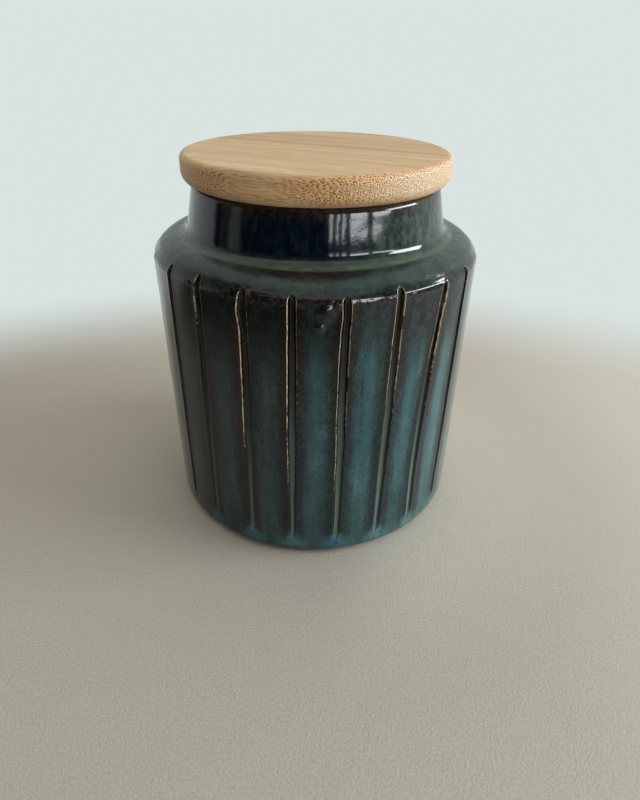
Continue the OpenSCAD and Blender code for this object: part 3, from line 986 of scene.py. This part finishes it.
def make_seal():
    """Soft ring with fins, turned from its outline."""
    outline = [(SEAL_IN_R, SEAL_Z + SEAL_EDGE_R, 0), (SEAL_IN_R, SEAL_Z, SEAL_EDGE_R),
               (PLUG_R, SEAL_Z, SEAL_ROOT_R)]
    pitch = SEAL_H / FIN_COUNT
    tip_r = FIN_T / 3.1
    for i in range(FIN_COUNT):
        root = SEAL_Z + (i + 0.5) * pitch
        tip = root + FIN_BEND
        outline += [(PLUG_R, root - FIN_T / 2, SEAL_ROOT_R), (FIN_TIP_R, tip - FIN_T / 3, tip_r),
                    (FIN_TIP_R, tip + FIN_T / 3, tip_r), (PLUG_R, root + FIN_T / 2, SEAL_ROOT_R)]
    top = SEAL_Z + SEAL_H
    outline += [(PLUG_R, top, SEAL_ROOT_R), (SEAL_IN_R, top, SEAL_EDGE_R), (SEAL_IN_R, top - SEAL_EDGE_R, 0)]
    section = subdivided(rounded(outline), lambda radius, height: SEAL_STEP)
    turn = np.arange(SEAL_COLUMNS) * 2 * math.pi / SEAL_COLUMNS
    verts = turned_points(section[:, :1], turn, np.repeat(section[:, 1:], SEAL_COLUMNS, 1))
    faces = grid_faces(len(section), SEAL_COLUMNS, True)
    obj = mesh_object("seal_soft", verts.reshape(-1, 3).tolist(), faces)
    obj.data.materials.append(silicone_material())
    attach(obj, "seal")
    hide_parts("seal_ring")


def dress(obj, material):
    for slot in obj.material_slots:
        slot.material = material


def dress_staves():
    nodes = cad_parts
    for i, tone in enumerate(STAVE_TONES, 1):
        shift = (7.3 * i, 3.1 * i, 5.7 * i)
        dress(nodes[f"lid_stave_{i}"], bamboo_material(f"bamboo_lid_{i}", shift, tone))
    for i, tone in enumerate(STAVE_TONES[1:], 1):
        shift = (4.9 * i + 40, 2.3 * i, 8.1 * i)
        material = bamboo_material(f"bamboo_plug_{i}", shift, tone, GRAIN_TURN + math.pi / 2)
        dress(nodes[f"plug_stave_{i}"], material)


def floor_material():
    """Plain pale floor that fades into the backdrop, with painted light making it a little lighter on the lit
    side and beside the jar on the right.
    """
    m = Nodes("plaster_floor")
    place = m.position()
    x, y, _ = m.split(place)
    grain = m.noise(place, 1.2, 4, 0.65)
    cloud = m.noise(place, 0.02, 3)
    colour = m.mix(m.times(cloud, 0.5), m.tones(grain, 0.25, 0.75, FLOOR_GRAIN), FLOOR_CLOUD)
    # Painted light: the floor lighter to the right and beside the jar on the right
    colour = m.mix(m.times(m.step(x, 60, 200), 0.35), colour, FLOOR_LIT_RIGHT)
    lit_beside = m.times(m.step(m.reach(x, y), 130, 65), m.step(x, 0, 45))
    colour = m.mix(m.times(lit_beside, 0.45), colour, FLOOR_LIT_BESIDE)
    m.finish(colour, 0.75, m.bump(grain, 0.6, 0.5))
    far = m.step(m.reach(x, m.plus(y, -FLOOR_CENTRE_Y)), *FLOOR_FADE)
    path = m.add("LightPath").outputs
    seen = m.math("ADD", path["Is Camera Ray"], path["Is Glossy Ray"], clamp=True)
    seen = m.math("ADD", seen, path["Is Transmission Ray"], clamp=True)
    return m.surface(m.blend(m.times(seen, far), m.shader.outputs[0], m.glow(BACKDROP)))


def make_floor():
    side = FLOOR_SIDE
    verts = [(-side, -side, 0), (side, -side, 0), (side, side, 0), (-side, side, 0)]
    floor = mesh_object("floor", verts, [(0, 1, 2, 3)])
    floor.data.materials.append(floor_material())


def card_material():
    """Dark away from the jar, and clear near it and towards the back and right."""
    m = Nodes("dark_card")
    x, y, _ = m.split(m.position())
    dim = m.times(m.step(m.reach(x, y), 170, 310), m.times(m.step(y, 60, -30), m.step(x, 150, 20)))
    return m.surface(m.blend(dim, m.add("BsdfTransparent").outputs[0], m.glow(CARD_COLOUR)))


def make_card():
    """Dark card in front, seen in reflections alone, which keeps the upper panels deep."""
    left, front, right, back = CARD_SIDES
    verts = [(left, front, CARD_Z), (right, front, CARD_Z), (right, back, CARD_Z), (left, back, CARD_Z)]
    card = mesh_object("card", verts, [(0, 1, 2, 3)])
    card.data.materials.append(card_material())
    card.visible_camera = False
    card.visible_diffuse = False
    card.visible_shadow = False


def make_world():
    """Pale all round and above, and warmer in the light that it gives."""
    world = bpy.data.worlds.new("studio")
    world.use_nodes = True
    tree = world.node_tree
    split = tree.nodes.new("ShaderNodeSeparateXYZ")
    tree.links.new(tree.nodes.new("ShaderNodeTexCoord").outputs["Generated"], split.inputs[0])
    ease = tree.nodes.new("ShaderNodeMapRange")
    ease.interpolation_type = "SMOOTHSTEP"
    ease.inputs["From Min"].default_value, ease.inputs["From Max"].default_value = CEILING_RISE
    tree.links.new(split.outputs[2], ease.inputs["Value"])
    above = tree.nodes.new("ShaderNodeMix")
    above.data_type = "RGBA"
    tree.links.new(ease.outputs[0], above.inputs[0])
    above.inputs[6].default_value = BACKDROP
    above.inputs[7].default_value = CEILING
    tint = tree.nodes.new("ShaderNodeMix")
    tint.data_type = "RGBA"
    tint.blend_type = "MULTIPLY"
    tree.links.new(tree.nodes.new("ShaderNodeLightPath").outputs["Is Diffuse Ray"], tint.inputs[0])
    tree.links.new(above.outputs[2], tint.inputs[6])
    tint.inputs[7].default_value = FILL_TINT
    tree.links.new(tint.outputs[2], tree.nodes["Background"].inputs["Color"])
    bpy.context.scene.world = world


def screen_material():
    m = Nodes("dim_screen")
    first, last = SCREEN_STOPS[0][0], SCREEN_STOPS[-1][0]
    x, y, z = m.split(m.position())
    around = m.times(m.math("ARCTAN2", x, m.times(y, -1)), 180 / math.pi)
    share = m.times(m.plus(around, -first), 1 / (last - first))
    stops = [((turn - first) / (last - first), colour) for turn, colour in SCREEN_STOPS]
    low = m.ramp(share, stops, smooth=False)
    high = m.mix(m.step(y, -0.5 * SCREEN_R / MM, 0.6 * SCREEN_R / MM), SCREEN_DIM, BACKDROP)
    rise = m.step(z, SCREEN_LOW[0] / MM, SCREEN_LOW[1] / MM)
    return m.surface(m.glow(m.mix(rise, low, high)))


def make_screen():
    """Dim curved screen round the front, behind the lamp panes, which keeps the front of the jar deep."""
    turn = np.radians(np.linspace(SCREEN_STOPS[0][0], SCREEN_STOPS[-1][0], SCREEN_COLUMNS))
    verts = [(SCREEN_R * math.sin(t), -SCREEN_R * math.cos(t), h) for h in (0, SCREEN_H) for t in turn]
    faces = [(j, j + 1, SCREEN_COLUMNS + j + 1, SCREEN_COLUMNS + j) for j in range(SCREEN_COLUMNS - 1)]
    screen = mesh_object("screen", verts, faces)
    screen.data.materials.append(screen_material())
    screen.visible_camera = False


def pane_side(low, high):
    """Length of a pane's side that spans the given angles, in degrees."""
    return 2 * PANE_DISTANCE * math.tan(math.radians(high - low) / 2)


def make_panes():
    """Soft lamp panes side by side, to the front right."""
    for i, (left, right, low, high, radiance) in enumerate(PANES):
        turn, rise = (left + right) / 2, (low + high) / 2
        lamp = bpy.data.lights.new(f"pane_{i + 1}", "AREA")
        lamp.shape = "RECTANGLE"
        lamp.size = pane_side(left, right)
        lamp.size_y = pane_side(low, high)
        lamp.energy = math.pi * radiance * lamp.size * lamp.size_y
        lamp.color = PANE_COLOUR
        obj = bpy.data.objects.new(lamp.name, lamp)
        obj.matrix_world = (Matrix.Translation((0, 0, PANE_Z)) @ Matrix.Rotation(math.radians(turn), 4, "Z")
                            @ Matrix.Rotation(math.radians(90 - rise), 4, "X")
                            @ Matrix.Translation((0, 0, PANE_DISTANCE)))
        obj.visible_camera = False
        bpy.context.scene.collection.objects.link(obj)


def make_camera():
    camera = bpy.data.cameras.new("camera")
    camera.sensor_fit = "VERTICAL"
    camera.sensor_height = SENSOR_H
    camera.lens = SENSOR_H * FOCAL_SHARE
    camera.clip_start = 0.01
    obj = bpy.data.objects.new("camera", camera)
    obj.matrix_world = (Matrix.Translation([v * MM for v in CAMERA_AT])
                        @ Matrix.Rotation(math.radians(90 - CAMERA_DOWN), 4, "X")
                        @ Matrix.Rotation(math.radians(CAMERA_ROLL), 4, "Z"))
    bpy.context.scene.collection.objects.link(obj)
    bpy.context.scene.camera = obj


make_jar()
make_seal()
dress_staves()
make_floor()
make_card()
make_world()
make_screen()
make_panes()
make_camera()
bpy.context.scene.view_settings.view_transform = "Standard"
